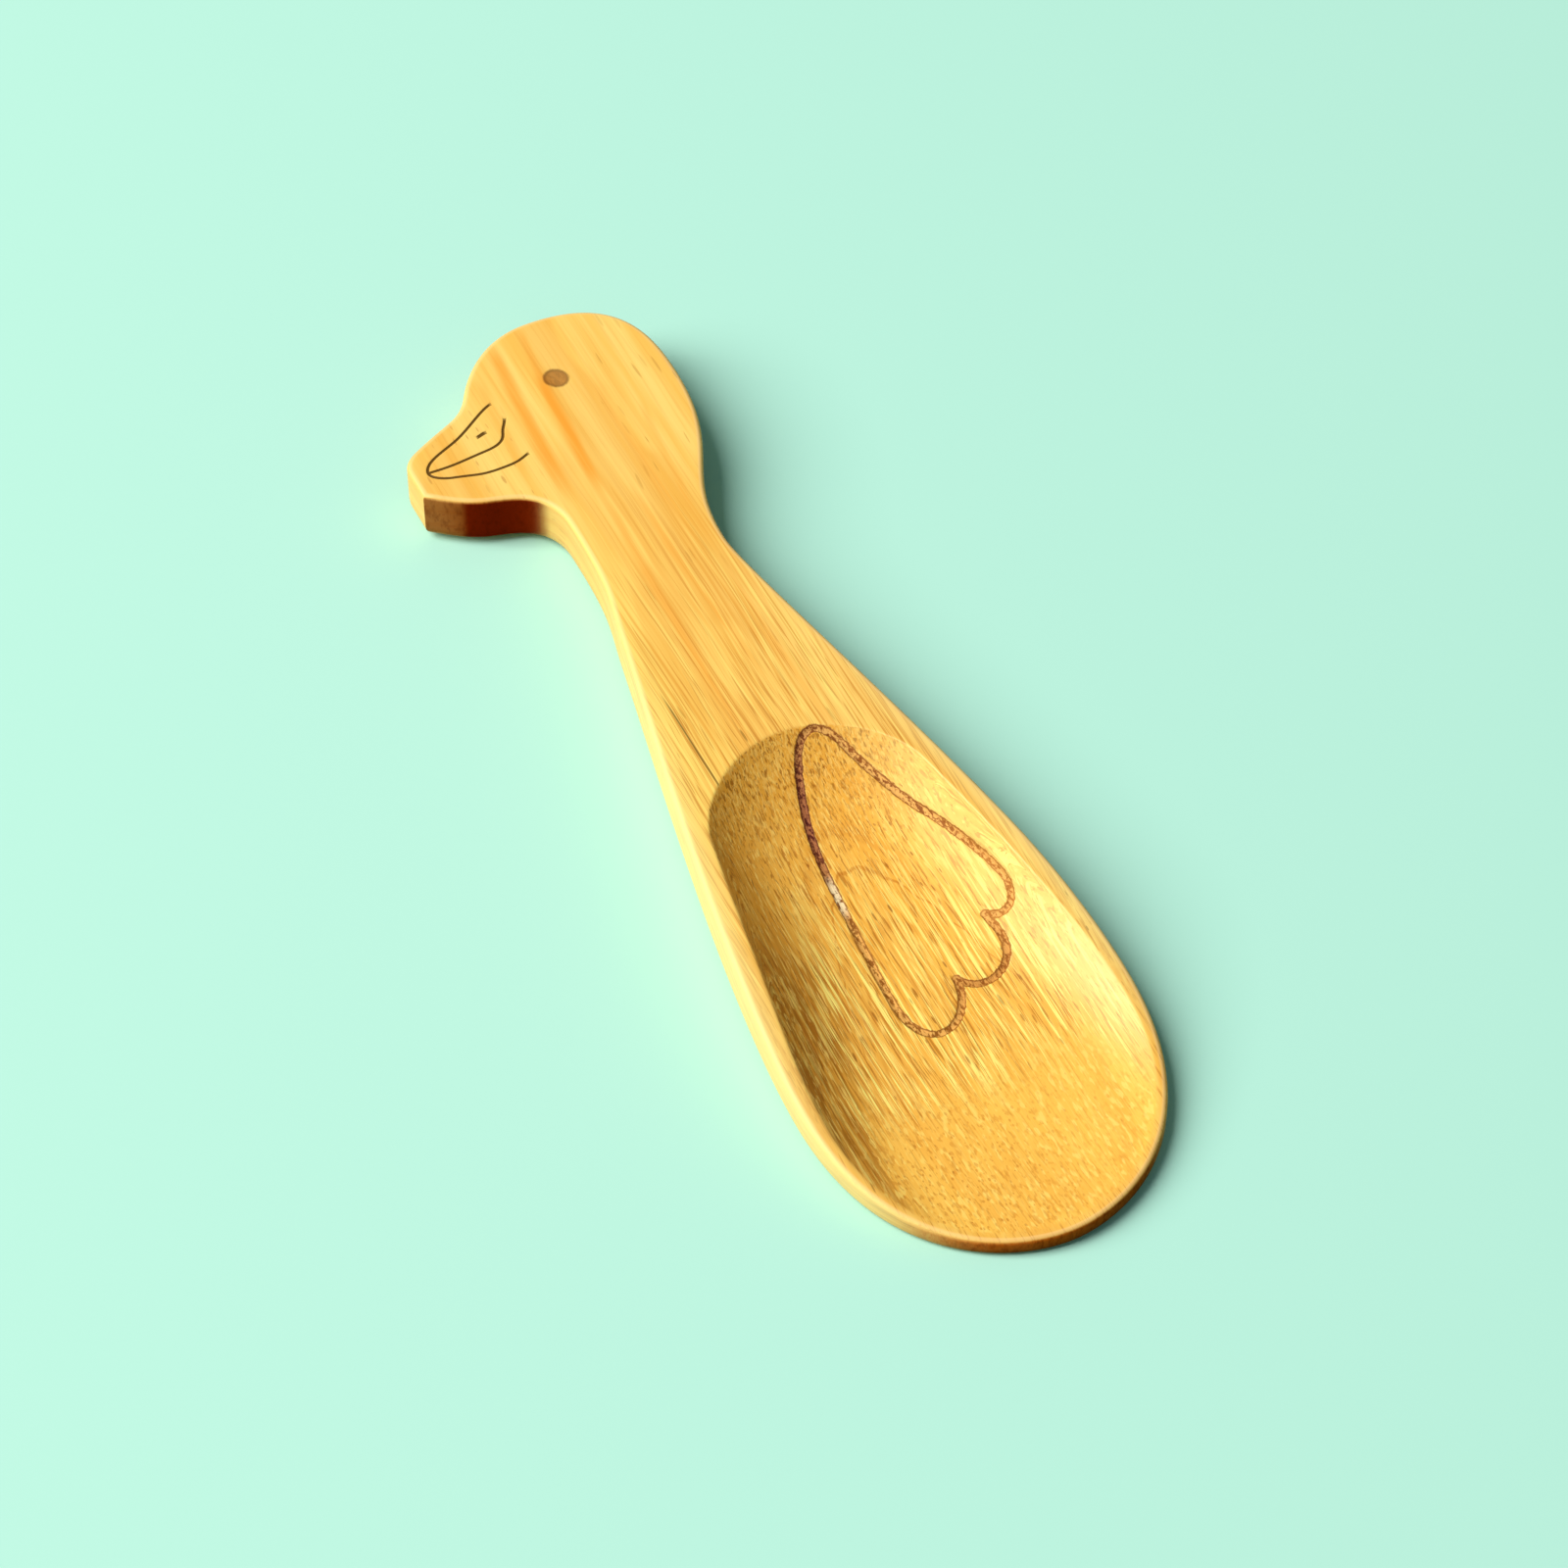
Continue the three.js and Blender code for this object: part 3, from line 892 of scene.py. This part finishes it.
    def streaks(self):
        for start, end, width, wander, strength in STREAKS:
            mask = self.streak_mask(start, end, width, wander)
            self.lay(self.times(mask, strength), (246, 162, 50))

    def plank_lines(self):
        """Long fine lines, first pale ones and then darker ones."""
        layers = [
            # Length, width, thickness, begin, full and seed of the lines, how strong, colour
            ((26.0, 0.55, 1.0, 0.5, 0.7, 5.0), 0.7, (255, 228, 122)),
            ((34.0, 0.4, 1.2, 0.52, 0.7, 0.0), 0.6, (220, 150, 50)),
            ((22.0, 0.3, 0.6, 0.57, 0.63, 51.0), 0.6, (200, 128, 36)),
        ]
        for sizes, strength, tint in layers:
            self.lay(self.times(self.lines(*sizes), self.busy, self.on_plank, strength), tint)
        self.lay(self.times(self.fine_lines, self.busy, 0.25), (222, 158, 56))

    def bowl_walls(self):
        """Painted shade on the bowl's far wall, which faces away from the lamp, with dark grain
        lines along it, and painted shade at the neck end.
        """
        shaded_far_wall = self.times(self.in_bowl, self.ramp(self.ny, 0.14, 0.4),
                                 self.ramp(self.x, 18.0, 34.0))
        wall_lines = self.lines(12.0, 0.7, 0.7, 0.4, 0.57, 81.0)
        # Painted shade on the far wall, with dark grain lines along it
        self.lay(self.times(self.shaded_far_side, 0.4), (222, 150, 40))
        self.lay(self.times(wall_lines, shaded_far_wall, 0.75), (150, 90, 16))
        # Painted shade at the neck end, where the end wall drops steeply
        self.lay(self.times(self.at_neck_end, 0.45), (218, 152, 40))
        self.lay(self.times(shaded_far_wall, 0.3), (196, 126, 24))

    def arches(self):
        """A growth ring cut by the dish shows as a pointed arch."""
        aside = self.minus(self.y, 0.5)
        waver = self.noise(self.stretched(self.place, (5.0, 2.5, 9.0)))
        along = self.minus(self.x, self.times(aside, aside, 0.23))
        along = self.plus(along, self.times(waver, 3.0))
        reach = self.times(self.in_bowl, self.ramp(self.math("ABSOLUTE", self.y), 12.0, 8.0))
        for middle, width, strength in ARCHES:
            arch = self.ramp(self.away(along, middle), 0.2 * width, width, 1.0, 0.0)
            self.lay(self.times(arch, reach, strength), (196, 122, 34))

    def cut_fibres(self):
        """The bowl cuts the fibres short: strokes on its floor, dots where it climbs the tip."""
        x, ramp, times = self.x, self.ramp, self.times
        far_strokes = times(self.in_bowl, ramp(x, 12.0, 32.0),
                            ramp(self.at_tip, 0.3, 1.0, 1.0, 0.1))
        tip_floor = times(self.in_bowl, self.at_tip)
        layers = [
            # Length, width, thickness, begin, full, seed and detail of the lines,
            # where and how strong, colour, rise. First dark checks on the plank
            ((8.0, 0.2, 0.6, 0.57, 0.66, 91.0, 1.0),
             times(ramp(x, -26.0, -4.0), self.not_in_bowl, 0.6), (190, 124, 40), 0.0),
            # Strokes in the bowl
            ((5.5, 0.26, 0.4, 0.53, 0.62, 13.0), times(self.cut_short, 0.75), (255, 218, 116), 0.4),
            ((5.0, 0.24, 0.4, 0.55, 0.64, 21.0), times(self.cut_short, 0.7), (176, 108, 28), -0.7),
            ((14.0, 0.36, 1.2, 0.57, 0.64, 38.0),
             times(far_strokes, self.bill_half, 0.6), (198, 122, 36), 0.0),
            ((14.0, 0.38, 1.4, 0.545, 0.61, 33.0),
             times(far_strokes, ramp(self.shaded_far_side, 0.1, 0.8, 1.0, 0.3)), (255, 236, 128), 0.4),
            # Flecks at the neck end
            ((1.3, 0.27, 0.5, 0.54, 0.66, 41.0, 0.8),
             times(self.at_neck_end, 0.7), (146, 86, 10), -0.8),
            ((1.3, 0.27, 0.5, 0.53, 0.64, 46.0, 0.8),
             times(self.at_neck_end, 0.8), (240, 190, 92), 0.0),
            # Dots at the tip
            ((1.4, 0.46, 0.6, 0.56, 0.68, 71.0, 0.5), times(tip_floor, 0.6), (255, 222, 116), 0.0),
            ((1.0, 0.42, 0.5, 0.54, 0.68, 61.0, 0.8),
             times(tip_floor, self.bill_half, 0.5), (206, 136, 44), -0.5),
        ]
        for sizes, where, tint, rise in layers:
            self.lay(times(self.lines(*sizes), where), tint, rise)

    def vessels(self):
        """Pores of the wood, sunk a little."""
        x, y, ramp, times = self.x, self.y, self.ramp, self.times
        layers = [
            # Length, width, thickness, fullness and seed of the pores, where and how strong, colour
            ((5.0, 0.9, 0.3, 0.2, 3.0), times(self.cut_short, 0.75), (150, 86, 20)),
            ((0.8, 0.5, 0.5, 0.34, 23.0),
             times(self.in_bowl, self.at_tip, self.bill_half, 0.55), (196, 124, 40)),
            ((26.0, 1.3, 0.6, 0.15, 31.0), times(self.only_plank, self.busy, 0.5), (186, 122, 34)),
            ((3.6, 0.75, 0.8, 0.26, 37.0),
             times(self.on_head, ramp(y, -6.0, -8.0), 0.5), (184, 124, 54)),
            ((7.0, 0.9, 0.6, 0.17, 43.0),
             times(self.only_plank, ramp(x, -14.0, -2.0), 0.7), (150, 100, 24)),
            ((8.0, 0.9, 0.8, 0.2, 47.0),
             times(ramp(y, 1.0, 4.0), ramp(x, -22.0, -30.0), 0.5), (176, 122, 40)),
        ]
        for sizes, where, tint in layers:
            self.lay(times(self.dashes(*sizes), where), tint, -0.7)

    def painted_highlights(self):
        """Painted light: paler on the faces turned to the lamp, a painted sheen on the bowl's wall
        that faces it, and painted highlights along the edges.
        """
        x, ramp, times = self.x, self.ramp, self.times
        # Painted light on the faces turned to the lamp
        painted_lit_side = times(self.facing_lamp, ramp(self.in_bowl, 0.0, 1.0, 0.64, 0.26),
                         ramp(x, -40.0, 0.0, 0.3, 1.0), ramp(x, 54.0, 66.0, 1.0, 0.3))
        # Painted sheen on the bowl's inner wall that faces the lamp
        lit_wall = times(self.facing_lamp, self.in_bowl, ramp(x, 24.0, 44.0),
                         ramp(x, 60.0, 48.0), 0.35)
        # Painted highlights: a pale band along the upper edges and the rim, and a narrower one on
        # the rounded tops of the edges
        rim = times(ramp(self.from_edge, 2.8, 0.4), ramp(x, -24.0, 20.0),
                    ramp(x, 36.0, 58.0, 0.42, 0.0))
        edge_highlight = times(ramp(self.from_edge, 0.75, 0.5), ramp(self.nz, 0.6, 0.9), 0.5)
        self.lay(painted_lit_side, (255, 247, 166))
        self.lay(lit_wall, (255, 250, 184))
        self.lay(rim, (255, 240, 156))
        self.lay(edge_highlight, (255, 214, 142))

    def crack(self):
        """One long hairline crack that runs towards the bowl."""
        line = self.streak_mask((-11.2, -8.9), (7.0, -8.8), 0.16, 0.5)
        self.lay(self.times(line, self.only_plank, 0.8), (110, 84, 26), -1.0)

    def end_grain_and_shade(self):
        """End grain drinks the oil and is darker and redder. Painted shade is laid over it: darker
        where it faces away from the lamp, on the far side of the tip, towards the bottom and most
        of all under the bill.
        """
        x, y, ramp, times = self.x, self.y, self.ramp, self.times
        oil_and_shade_tint = self.mix(self.on_head, colour(200, 90, 0), colour(164, 68, 0))
        # Painted shade on the far side of the tip
        shaded_far_tip = times(ramp(y, -6.0, 6.0), ramp(x, 0.0, 40.0), 0.6)
        oil_and_shade_tint = self.mix(shaded_far_tip, oil_and_shade_tint, colour(124, 52, 0))
        # Painted shade: darker towards the bottom, near the table
        oil_and_shade_tint = self.mix(ramp(self.z, 1.9, 0.3), oil_and_shade_tint, colour(104, 38, 0))
        # Painted shade on the wall under the bill
        shaded_under_bill = times(ramp(self.nx, 0.45, 0.8), self.on_head, ramp(self.nz, 0.5, 0.2),
                           ramp(y, -17.1, -16.1, 0.25, 1.0))
        brushed = self.noise(self.stretched(self.place, (2.0, 0.5, 1.4)), 3.0, 0.6)
        # End grain turned away from the lamp takes more of the dark colour: painted shade
        self.lay(times(self.end_grain, ramp(self.nx, -0.5, 0.0, 0.5, 0.88)), oil_and_shade_tint)
        self.lay(shaded_under_bill, (126, 34, 4))
        self.lay(times(self.end_grain, ramp(brushed, 0.45, 0.7), 0.45), (96, 26, 0))

    def wing_brown(self, mottle):
        """Dark and reddish where the wing's line starts, lighter in the far half and scallops. This
        is partly an uneven burn and partly painted light and shade: darker at the start, in the
        shaded neck end of the bowl, and lighter in the far half, on the wall that faces the lamp.
        """
        x, far_half = self.x, self.ramp(self.y, -1.0, 6.0)
        along = self.ramp(x, 10.0, 26.0)
        scallops = self.times(far_half, self.ramp(x, 27.0, 37.0), 0.8)
        far_brown = self.mix(self.ramp(x, 13.0, 25.0), colour(142, 84, 32), colour(176, 114, 46))
        brown = self.mix(along, colour(84, 30, 22), colour(146, 90, 28))
        brown = self.mix(far_half, brown, far_brown)
        brown = self.mix(scallops, brown, colour(134, 74, 20))
        lighter = self.mix(along, colour(172, 108, 68), colour(236, 178, 92))
        lighter = self.mix(far_half, lighter, colour(234, 180, 98))
        lighter = self.mix(scallops, lighter, colour(206, 142, 66))
        return self.mix(mottle, brown, lighter)

    def head_brown(self, mottle, burn):
        """Olive brown for the bill's lines, and a warmer mottled eye with a dark ring."""
        in_eye = self.ramp(self.y, -5.0, -4.0)
        dark_ring = self.times(self.ramp(burn, 0.3, 0.1), in_eye, 0.7)
        brown = self.mix(in_eye, colour(88, 58, 6), colour(134, 70, 14))
        brown = self.mix(self.times(mottle, in_eye, 0.5), brown, colour(186, 116, 46))
        return self.mix(dark_ring, brown, colour(92, 42, 6))

    def burnt_lines(self):
        """Burnt wood, mottled and with darker edges, and a pale painted glint on the wing's line.
        """
        x, y, ramp, times = self.x, self.y, self.ramp, self.times
        burn = self.attribute("burn")
        speckle = self.noise(self.stretched(self.place, (0.9, 0.4, 0.4)), 3.0, 0.7)
        raggedness = ramp(self.on_head, 0.0, 1.0, 1.1, 0.25)
        ragged = self.plus(burn, times(self.minus(speckle, 0.5), raggedness))
        burnt = times(ramp(ragged, -0.2, 0.1), self.attribute("char"))
        mottle = times(ramp(speckle, 0.43, 0.55), ramp(burn, 0.1, 0.4, 0.1, 0.95))
        brown = self.mix(self.on_head, self.wing_brown(mottle), self.head_brown(mottle, burn))
        self.lay(burnt, brown)
        # Painted glint: a pale patch on the wing's line
        glint = times(ramp(self.away(x, 18.9), 3.4, 1.0), ramp(y, 0.0, -1.2),
                     ramp(burn, 0.0, 0.4), ramp(speckle, 0.36, 0.5), 0.8)
        self.lay(glint, (252, 236, 190))
        self.relief = self.plus(self.relief, times(speckle, burnt, 0.7))
        return burnt


def empty_material(name):
    material = bpy.data.materials.new(name)
    material.use_nodes = True
    material.node_tree.nodes.clear()
    return material


def wood_material():
    """Oiled pale wood, from the broad bands up to the burnt lines."""
    material = empty_material("oiled_pale_wood")
    sheet = WoodSheet(material.node_tree)
    sheet.bands()
    sheet.growth_rings()
    sheet.streaks()
    sheet.plank_lines()
    sheet.bowl_walls()
    sheet.arches()
    sheet.cut_fibres()
    sheet.vessels()
    sheet.painted_highlights()
    sheet.crack()
    sheet.end_grain_and_shade()
    burnt = sheet.burnt_lines()

    rough = sheet.ramp(sheet.fine_lines, 0.0, 1.0, 0.42, 0.5)
    rough = sheet.plus(rough, sheet.times(burnt, 0.12))
    rough = sheet.plus(rough, sheet.times(sheet.end_grain, 0.15))
    shine = sheet.times(sheet.ramp(sheet.end_grain, 0.0, 1.0, 0.2, 0.0),
                        sheet.less(sheet.in_bowl, 0.6))
    bump = sheet.node("ShaderNodeBump", {
        "Height": sheet.relief, "Strength": 0.6, "Distance": RELIEF_HEIGHT * MM})
    shader = sheet.node("ShaderNodeBsdfPrincipled", {
        "Base Color": sheet.tint, "Roughness": rough, "Normal": bump.outputs["Normal"],
        "IOR": 1.45, "Specular IOR Level": shine})
    sheet.node("ShaderNodeOutputMaterial", {"Surface": shader.outputs["BSDF"]})
    return material


def floor_material():
    """Plain pale green. The wood sees it a little duller, so that its sides keep their shade."""
    material = empty_material("pale_green_table")
    sheet = Sheet(material.node_tree)
    path = sheet.node("ShaderNodeLightPath").outputs
    seen = sheet.math("MAXIMUM", path["Is Camera Ray"], path["Is Glossy Ray"])
    seen = sheet.math("MAXIMUM", seen, path["Is Transmission Ray"])
    tint = sheet.mix(seen, colour(156, 170, 136), colour(180, 236, 221))
    shader = sheet.node("ShaderNodeBsdfDiffuse", {"Color": tint})
    sheet.node("ShaderNodeOutputMaterial", {"Surface": shader.outputs["BSDF"]})
    return material


# The scene

def place_camera():
    data = bpy.data.cameras.new("camera")
    data.lens = CAMERA_LENS
    data.clip_end = 10
    camera = bpy.data.objects.new("camera", data)
    stand = Vector(CAMERA_PLACE) * MM
    target = Vector(CAMERA_TARGET) * MM
    camera.location = stand
    camera.rotation_euler = (target - stand).to_track_quat("-Z", "Y").to_euler()
    bpy.context.scene.collection.objects.link(camera)
    bpy.context.scene.camera = camera


def place_lights():
    """One tall soft lamp on the bill's side, and a cool pale surround."""
    data = bpy.data.lights.new("tall_lamp", "AREA")
    data.shape = "RECTANGLE"
    data.size, data.size_y = LAMP_SIZE
    data.energy = LAMP_WATTS
    data.color = LAMP_COLOUR
    lamp = bpy.data.objects.new("tall_lamp", data)
    towards = Vector(LAMP_TOWARDS).normalized()
    lamp.location = towards * LAMP_DISTANCE
    lamp.rotation_euler = (-towards).to_track_quat("-Z", "Y").to_euler()
    bpy.context.scene.collection.objects.link(lamp)

    world = bpy.data.worlds.new("pale_surround")
    world.use_nodes = True
    shade = world.node_tree.nodes["Background"]
    shade.inputs["Color"].default_value = SURROUND_COLOUR
    shade.inputs["Strength"].default_value = SURROUND_STRENGTH
    bpy.context.scene.world = world


def place_floor():
    """The table, a hair below the spoon."""
    mesh = bpy.data.meshes.new("table_top")
    turns = [(-1, -1), (1, -1), (1, 1), (-1, 1)]
    corners = [(x * FLOOR_HALF, y * FLOOR_HALF, -FLOOR_GAP) for x, y in turns]
    mesh.from_pydata(corners, [], [(0, 1, 2, 3)])
    mesh.materials.append(floor_material())
    floor = bpy.data.objects.new("table_top", mesh)
    bpy.context.scene.collection.objects.link(floor)


def carve_spoon():
    finish = wood_material()
    wood = bpy.data.objects.new("duck_spoon_wood", wood_mesh())
    bpy.context.scene.collection.objects.link(wood)
    burn_marks(wood, finish)
    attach(wood, "root")
    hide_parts("carved_spoon")


bpy.context.scene.view_settings.view_transform = "Standard"
place_camera()
place_lights()
place_floor()
carve_spoon()
